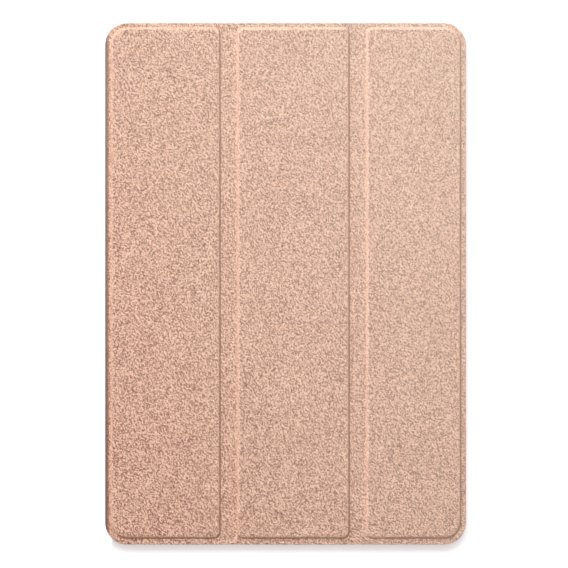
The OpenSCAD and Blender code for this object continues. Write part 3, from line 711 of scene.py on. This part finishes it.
class FOLIO_OT_fold_strips(bpy.types.Operator):
    """Strips of leather and lining between two panels, where the cover folds"""
    bl_idname = "folio.fold_strips"
    bl_label = "Fold strips"

    def execute(self, context):
        size = sizes()
        half = size.strip_half
        for number, x in enumerate(FOLDS, 1):
            for name, slot, end, low, high, pressed, width in (
                    ("leather", "rose_leather", COVER_END, SKIN_Z, FOLD_Z, FOLD_Z, size.cut_edge),
                    ("lining", "rose_microfibre", LINING_END, LINING_Z, SKIN_Z, LINING_Z, size.lining_edge)):
                bm = block((x - half, -end, low), (x + half, end, high))
                round_edges(bm, [e for e in edges_where(bm, lambda p: near(p.z, pressed))
                                 if near(e.verts[0].co.y, e.verts[1].co.y)], width, EDGE_SEGMENTS)
                slice_across(bm, STRIP_CUTS)
                if name == "lining":
                    for vert in bm.verts:
                        if near(vert.co.z, LINING_Z):
                            share = (1 + math.cos(math.pi * (vert.co.x - x) / half)) / 2
                            vert.co.z += size.lining_groove * share
                strip = piece(f"fold_{name}_{number}", bm, slot, None)
                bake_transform(strip)
        return {"FINISHED"}


# --- Spine and back ---

# Painted shade on the spine's side, and how far across the crease the full painted shade starts
PAINTED_SIDE_SHADE = 0.2
PAINTED_CREASE_SHADE_FROM = 0.15


def wrap(bm, seam_x, seam_z, radius, side, sink=0.0):
    """Bends a flat strip round the spine's crease; side is 1 at the cover and -1 at the back."""
    for vert in bm.verts:
        depth = abs(vert.co.z - seam_z)
        angle = (seam_x - vert.co.x) / radius
        reach = radius - depth - sink * min(1.0, angle / (math.pi / 2))
        vert.co.x = seam_x - reach * math.sin(angle)
        vert.co.z = seam_z - side * (radius - reach * math.cos(angle))


def follow_corner(bm, end, corner, flat_end):
    """Moves a strip's ends to lie on the rounded corner of the sheet that it continues."""
    for vert in bm.verts:
        across = max(0.0, min(corner, vert.co.x - COVER_LEFT))
        edge = end - corner + math.sqrt(corner ** 2 - (corner - across) ** 2)
        vert.co.y -= math.copysign(flat_end - edge, vert.co.y)


def painted_crease_shade(place):
    """Painted shade: strongest on the turn over the spine, gone where the panel starts, and faint on the spine's
    side.
    """
    across = min(1.0, (place.x - COVER_LEFT) / sizes().crease_r)
    return (1 - across ** 2) * (PAINTED_SIDE_SHADE + (1 - PAINTED_SIDE_SHADE) * min(1.0, across / PAINTED_CREASE_SHADE_FROM))


def add_crease(name, slot, bodies, end, corner, seam_z, side, depth=0.0, sink=0.0):
    """A strip that turns over the spine, some depth inside its outer surface; side is as for wrap."""
    size = sizes()
    radius = size.crease_r
    seam = COVER_LEFT + radius
    outer = seam_z - side * depth
    inner = outer - side * (SKIN_T if slot == "rose_leather" else LINING_T)
    bm = block((seam - radius * math.pi / 2, -end, min(outer, inner)), (seam, end, max(outer, inner)))
    if depth == 0:
        round_edges(bm, [e for e in edges_where(bm, lambda p: near(p.z, outer))
                         if near(e.verts[0].co.y, e.verts[1].co.y)], size.cut_edge, EDGE_SEGMENTS)
    slice_across(bm, CREASE_CUTS)
    wrap(bm, seam, seam_z, radius, side, sink)
    follow_corner(bm, end, corner, end)
    # painted shade on the leather's turn over the spine
    if slot == "rose_leather":
        mark(bm, PAINTED_SHADE, painted_crease_shade)
    strip = piece(f"crease_{name}", bm, slot, None)
    first, second = bodies
    if first == "spine":
        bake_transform(strip)
    else:
        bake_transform(strip)


class FOLIO_OT_spine(bpy.types.Operator):
    """Leather and lining of the spine, and the creases that join it to the cover and the back"""
    bl_idname = "folio.spine"
    bl_label = "Spine"

    def execute(self, context):
        size = sizes()
        radius = size.crease_r
        back_end = span("back_skin", Y)[1]
        lining_left = SPINE_INSIDE - LINING_T
        sink = lining_left - COVER_LEFT - SKIN_T
        add_crease("leather_cover", "rose_leather", ("spine", "panel_1"), COVER_END, SHEET_CORNER, FOLD_Z, 1)
        add_crease("lining_cover", "rose_microfibre", ("spine", "panel_1"), LINING_END, SHEET_CORNER, FOLD_Z,
                   1, depth=SKIN_T, sink=sink)
        add_crease("leather_back", "rose_leather", ("tablet", "spine"), back_end, size.back_corner, 0, -1)

        bm = block((COVER_LEFT, -SPINE_END, radius), (COVER_LEFT + SKIN_T, SPINE_END, FOLD_Z - radius))
        slant = SPINE_END - (back_end - size.back_corner)
        for vert in bm.verts:
            if near(vert.co.z, radius):
                vert.co.y -= math.copysign(slant, vert.co.y)
        round_edges(bm, [e for e in edges_where(bm, lambda p: near(p.x, COVER_LEFT))
                         if not near(e.verts[0].co.z, e.verts[1].co.z)], size.cut_edge, EDGE_SEGMENTS)
        # painted shade on the spine's side, darkening towards the crease
        mark(bm, PAINTED_SHADE, painted_crease_shade)
        piece("spine_leather", bm, "rose_leather", "spine", ["spine_skin"])
        bm = block((lining_left, -SPINE_END, size.lining_edge), (SPINE_INSIDE, SPINE_END, FOLD_Z - radius))
        round_edges(bm, [e for e in edges_where(bm, lambda p: near(p.x, SPINE_INSIDE))
                         if not near(e.verts[0].co.z, e.verts[1].co.z)], size.lining_edge, EDGE_SEGMENTS)
        piece("spine_cloth", bm, "rose_microfibre", "spine", ["spine_lining"])

        seam = COVER_LEFT + radius
        bm = merged_copy("back_skin")
        cut_left_of(bm, seam)
        rim = [edge for edge in edges_where(bm, lambda p: near(p.z, 0))
               if not all(near(v.co.x, seam) for v in edge.verts)
               and edge.calc_face_angle(0) > RIM_SHARP]
        round_edges(bm, rim, size.cut_edge, EDGE_SEGMENTS)
        piece("back_leather", bm, "rose_leather", "tablet", ["back_skin"])
        return {"FINISHED"}


class FOLIO_OT_linings(bpy.types.Operator):
    """Microfibre lining of the three panels"""
    bl_idname = "folio.linings"
    bl_label = "Linings"

    def execute(self, context):
        left, right = span("cover_lining_1", X)[0], span("cover_lining_3", X)[1]
        for index in range(3):
            number = index + 1
            bm = flat_sheet(index, left, right, LINING_END, LINING_Z, SKIN_Z, LINING_Z, SHEET_CORNER)
            piece(f"lining_cloth_{number}", bm, "rose_microfibre", f"panel_{number}",
                  [f"cover_lining_{number}"])
        return {"FINISHED"}


# --- Tablet and shell ---

class FOLIO_OT_shell(bpy.types.Operator):
    """Moulded tray that holds the tablet"""
    bl_idname = "folio.shell"
    bl_label = "Shell"

    def execute(self, context):
        softened("case_shell", "back_shell", sizes().moulded_edge, "tablet")
        return {"FINISHED"}


class FOLIO_OT_front_glass(bpy.types.Operator):
    """Front glass with its rounded rim"""
    bl_idname = "folio.front_glass"
    bl_label = "Front glass"

    def execute(self, context):
        size = sizes()
        low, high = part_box("cover_glass")
        bm = block(low, high)
        for x in (low.x, high.x):
            for y in (low.y, high.y):
                round_corner(bm, x, y, size.glass_corner)
        round_edges(bm, edges_where(bm, lambda p: near(p.z, high.z)), size.glass_edge, GLASS_SEGMENTS)
        piece("front_glass", bm, "front_glass", "tablet", ["cover_glass"])
        return {"FINISHED"}


class FOLIO_OT_metalwork(bpy.types.Operator):
    """Camera ring and window, buttons and card tray, with their edges eased"""
    bl_idname = "folio.metalwork"
    bl_label = "Metalwork"

    def execute(self, context):
        edge = sizes().metal_edge
        for name, node, body in (
                ("camera_trim", "camera_ring", "tablet"),
                ("camera_window", "camera_lens", "tablet"),
                ("power_key", "power_button", "power_button"),
                ("volume_up_key", "volume_up_button", "volume_up_button"),
                ("volume_down_key", "volume_down_button", "volume_down_button"),
                ("tray_drawer", "card_tray", "card_tray")):
            softened(name, node, edge, body)
        return {"FINISHED"}


class FOLIO_OT_inner_finishes(bpy.types.Operator):
    """Finishes of every node that keeps its own shape"""
    bl_idname = "folio.inner_finishes"
    bl_label = "Inner finishes"

    def execute(self, context):
        for name, node in frame["nodes"].items():
            if not node.hide_render:
                node.data.materials.clear()
                node.data.materials.append(finish(SLOT_OF[name]))
        return {"FINISHED"}


# --- Stage ---

# Half the width of the sheet and the floor, the sheet's thickness, the drop to the floor and its thickness
STAGE_HALF, SHEET_T, DROP, FLOOR_T = 0.65, 3 * MM, 90 * MM, 10 * MM
# How far right of the case's left edge the sheet starts, and the gap under the case
SHEET_INSET, SHEET_GAP = 2.5 * MM, 0.02 * MM
STAGE_EDGE = 1 * MM
# How strongly the acrylic glows by itself, and the grain of its matt face in millimetres
BACKLIGHT, ETCH = 0.46, 0.6
# The studio's brightest side, and its strength there and on the far side
BRIGHT_SIDE, BRIGHT, DIM = (-0.55, 0.5, 0.67), 0.22, 0.01
# Each light's place, width, depth and power, and whether it lights the sheet and the floor too
LIGHTS = (
    ("key", (-0.1, 0.72, 2.0), 0.8, 0.4, 15.2, True),
    ("rim", (-0.1, 1.3, 0.75), 0.8, 0.2, 13, False),
    ("left", (-1.6, 0.3, 1.13), 0.8, 0.8, 14, False),
    ("haze", (0.08, 0.02, 0.75), 0.35, 0.35, 1.65, True))
# Lens and sensor in millimetres, the width that the camera frames, and the point it looks down on
LENS, SENSOR, FRAMED, AIM = 150, 36, 277.8 * MM, (-0.7 * MM, -0.05 * MM)


def stage_block(name, low, high, material):
    bm = block(low, high)
    round_edges(bm, edges_where(bm, lambda p: near(p.z, high[Z])), STAGE_EDGE, EDGE_SEGMENTS)
    mesh = bpy.data.meshes.new(name)
    bm.to_mesh(mesh)
    bm.free()
    made_object = bpy.data.objects.new(name, mesh)
    bpy.context.scene.collection.objects.link(made_object)
    mesh.materials.append(material)
    return made_object


def area_light(name, place, width, depth, power, spared=()):
    """A soft rectangular light aimed at the case. It leaves the spared objects unlit."""
    lamp = bpy.data.lights.new(name, "AREA")
    lamp.shape = "RECTANGLE"
    lamp.size, lamp.size_y = width, depth
    lamp.energy = power
    made_object = bpy.data.objects.new(name, lamp)
    made_object.location = place
    made_object.visible_camera = False
    made_object.rotation_euler = (-Vector(place)).to_track_quat("-Z", "Y").to_euler()
    bpy.context.scene.collection.objects.link(made_object)
    if spared:
        unlit = bpy.data.collections.new(f"{name}_spares")
        for item in spared:
            unlit.objects.link(item)
        for member in unlit.collection_objects:
            member.light_linking.link_state = "EXCLUDE"
        made_object.light_linking.receiver_collection = unlit


class FOLIO_OT_stage(bpy.types.Operator):
    """Pale sheet under the case, pale floor below it, soft light and the camera"""
    bl_idname = "folio.stage"
    bl_label = "Stage"

    def execute(self, context):
        # white acrylic lit from below, its matt face drawn 0.6 mm coarse
        material, tree, shader = surface("opal_acrylic", {
            "Base Color": opaque(colours().floor), "Specular IOR Level": 0.2, "Emission Color": (1, 1, 1, 1),
            "Emission Strength": BACKLIGHT})
        matt = add_node(tree, "TexNoise", {"Vector": place_in_mm(tree), "Scale": 1 / ETCH, "Detail": 3.0})
        dress(tree, shader, None, add_node(tree, "MapRange", {VALUE: matt, TO_LOW: 0.85, TO_HIGH: 0.95}))
        sheet = stage_block("sheet", (COVER_LEFT + SHEET_INSET, -STAGE_HALF, -SHEET_T),
                            (STAGE_HALF, STAGE_HALF, -SHEET_GAP), material)
        floor = stage_block("floor", (-STAGE_HALF, -STAGE_HALF, -DROP - FLOOR_T),
                            (STAGE_HALF, STAGE_HALF, -DROP), material)

        scene = context.scene
        scene.view_settings.view_transform = "Standard"
        world = bpy.data.worlds.new("studio")
        scene.world = world
        world.use_nodes = True
        tree = world.node_tree
        # a dim studio that is brightest above and behind the case, with a white backdrop
        direction = add_node(tree, "TexCoord", {}, out="Generated")
        towards = add_node(tree, "VectorMath", {0: direction, 1: BRIGHT_SIDE}, out="Value",
                           operation="DOT_PRODUCT")
        glow = add_node(tree, "MapRange", {VALUE: towards, TO_LOW: DIM, TO_HIGH: BRIGHT})
        seen = add_node(tree, "LightPath", {}, out="Is Camera Ray")
        strength = add_node(tree, "Math", {0: seen, 1: glow}, operation="MAXIMUM")
        tree.links.new(strength, tree.nodes["Background"].inputs["Strength"])
        tree.nodes["Background"].inputs["Color"].default_value = (1, 1, 1, 1)
        for name, place, width, depth, power, lights_stage in LIGHTS:
            area_light(name, place, width, depth, power, () if lights_stage else (sheet, floor))

        camera = bpy.data.cameras.new("camera")
        camera.lens, camera.sensor_width = LENS, SENSOR
        camera.clip_start, camera.clip_end = 0.05, 20
        rig = bpy.data.objects.new("camera", camera)
        rig.location = (*AIM, COVER_TOP + FRAMED * LENS / SENSOR)
        scene.collection.objects.link(rig)
        scene.camera = rig
        return {"FINISHED"}


OPERATORS = (FOLIO_OT_cover_panels, FOLIO_OT_fold_strips, FOLIO_OT_spine, FOLIO_OT_linings, FOLIO_OT_shell,
             FOLIO_OT_front_glass, FOLIO_OT_metalwork, FOLIO_OT_inner_finishes, FOLIO_OT_stage)


class FOLIO_PT_panel(bpy.types.Panel):
    """Lists the pieces in the order that they are built"""
    bl_idname = "FOLIO_PT_panel"
    bl_label = "Folio tablet"
    bl_space_type = "VIEW_3D"
    bl_region_type = "UI"
    bl_category = "Folio"

    def draw(self, context):
        for operator in OPERATORS:
            self.layout.operator(operator.bl_idname)
        for group in (context.scene.folio_sizes, context.scene.folio_colours):
            box = self.layout.box()
            for name in group.__annotations__:
                box.prop(group, name)


CLASSES = (FolioSizes, FolioColours, *OPERATORS, FOLIO_PT_panel)


def register():
    for cls in CLASSES:
        bpy.utils.register_class(cls)
    bpy.types.Scene.folio_sizes = bpy.props.PointerProperty(type=FolioSizes)
    bpy.types.Scene.folio_colours = bpy.props.PointerProperty(type=FolioColours)


def unregister():
    del bpy.types.Scene.folio_colours
    del bpy.types.Scene.folio_sizes
    for cls in reversed(CLASSES):
        bpy.utils.unregister_class(cls)


def main():
    register()
    for operator in OPERATORS:
        group, name = operator.bl_idname.split(".")
        getattr(getattr(bpy.ops, group), name)()


if __name__ == "__main__":
    main()
